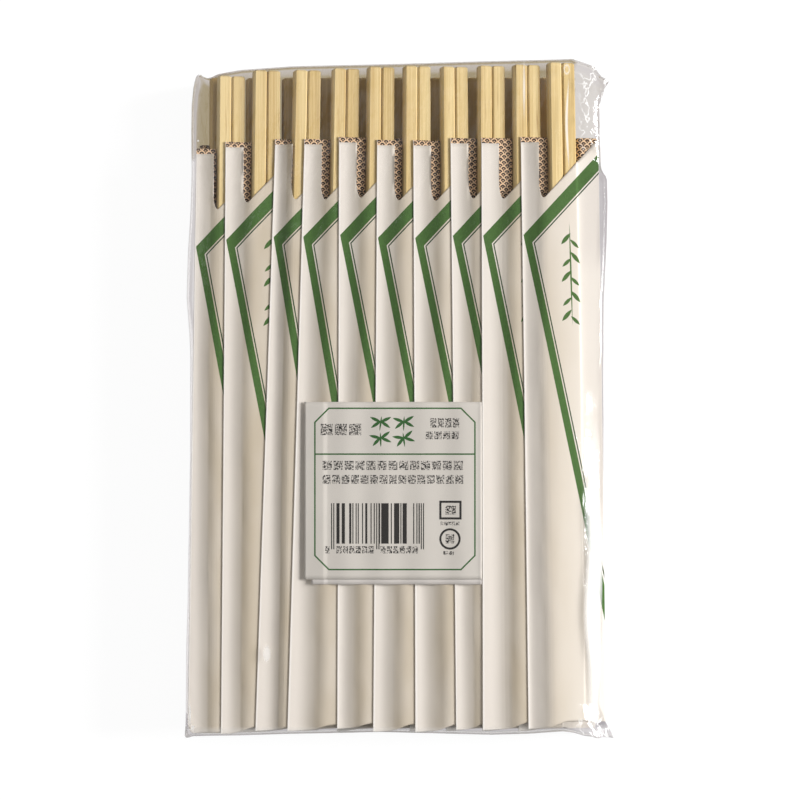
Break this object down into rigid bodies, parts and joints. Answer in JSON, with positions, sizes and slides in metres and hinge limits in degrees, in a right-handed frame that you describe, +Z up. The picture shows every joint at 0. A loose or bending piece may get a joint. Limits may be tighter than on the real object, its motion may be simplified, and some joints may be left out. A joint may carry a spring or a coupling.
{
  "type": "pack of bamboo chopsticks",
  "caption": "Sealed clear bag of bamboo chopsticks, each pair in a folded paper sleeve, lying in shingled rows under a plain label card.",
  "frame": {"origin": "middle of the pack's flat underside", "axes": "+X across the pairs to the right, +Y along the chopsticks to their bare heads, +Z up to the label"},
  "size_m": [0.1392, 0.2196, 0.0242],
  "materials": {
    "bamboo": "bare planed bamboo with fine lengthwise grain",
    "sleeve_paper": "matt white sleeve paper with a green stripe, brown patterned inside",
    "label_paper": "smooth off-white card with a thin green frame",
    "clear_film": "clear glossy thin film"
  },
  "bodies": {
    "root": {"back_pair_01": "bamboo", "back_pair_02": "bamboo", "back_pair_03": "bamboo", "back_pair_04": "bamboo", "back_pair_05": "bamboo", "back_pair_06": "bamboo", "back_pair_07": "bamboo", "back_pair_08": "bamboo", "back_pair_09": "bamboo", "back_pair_10": "bamboo", "back_sleeve_01": "sleeve_paper", "back_sleeve_02": "sleeve_paper", "back_sleeve_03": "sleeve_paper", "back_sleeve_04": "sleeve_paper", "back_sleeve_05": "sleeve_paper", "back_sleeve_06": "sleeve_paper", "back_sleeve_07": "sleeve_paper", "back_sleeve_08": "sleeve_paper", "back_sleeve_09": "sleeve_paper", "back_sleeve_10": "sleeve_paper", "clear_bag": "clear_film", "front_pair_01": "bamboo", "front_pair_02": "bamboo", "front_pair_03": "bamboo", "front_pair_04": "bamboo", "front_pair_05": "bamboo", "front_pair_06": "bamboo", "front_pair_07": "bamboo", "front_pair_08": "bamboo", "front_pair_09": "bamboo", "front_pair_10": "bamboo", "front_sleeve_01": "sleeve_paper", "front_sleeve_02": "sleeve_paper", "front_sleeve_03": "sleeve_paper", "front_sleeve_04": "sleeve_paper", "front_sleeve_05": "sleeve_paper", "front_sleeve_06": "sleeve_paper", "front_sleeve_07": "sleeve_paper", "front_sleeve_08": "sleeve_paper", "front_sleeve_09": "sleeve_paper", "front_sleeve_10": "sleeve_paper", "label_card": "label_paper", "middle_pairs": "bamboo", "middle_sleeve_01": "sleeve_paper", "middle_sleeve_02": "sleeve_paper", "middle_sleeve_03": "sleeve_paper", "middle_sleeve_04": "sleeve_paper", "middle_sleeve_05": "sleeve_paper", "middle_sleeve_06": "sleeve_paper", "middle_sleeve_07": "sleeve_paper", "middle_sleeve_08": "sleeve_paper", "middle_sleeve_09": "sleeve_paper", "middle_sleeve_10": "sleeve_paper"}
  },
  "joints": []
}
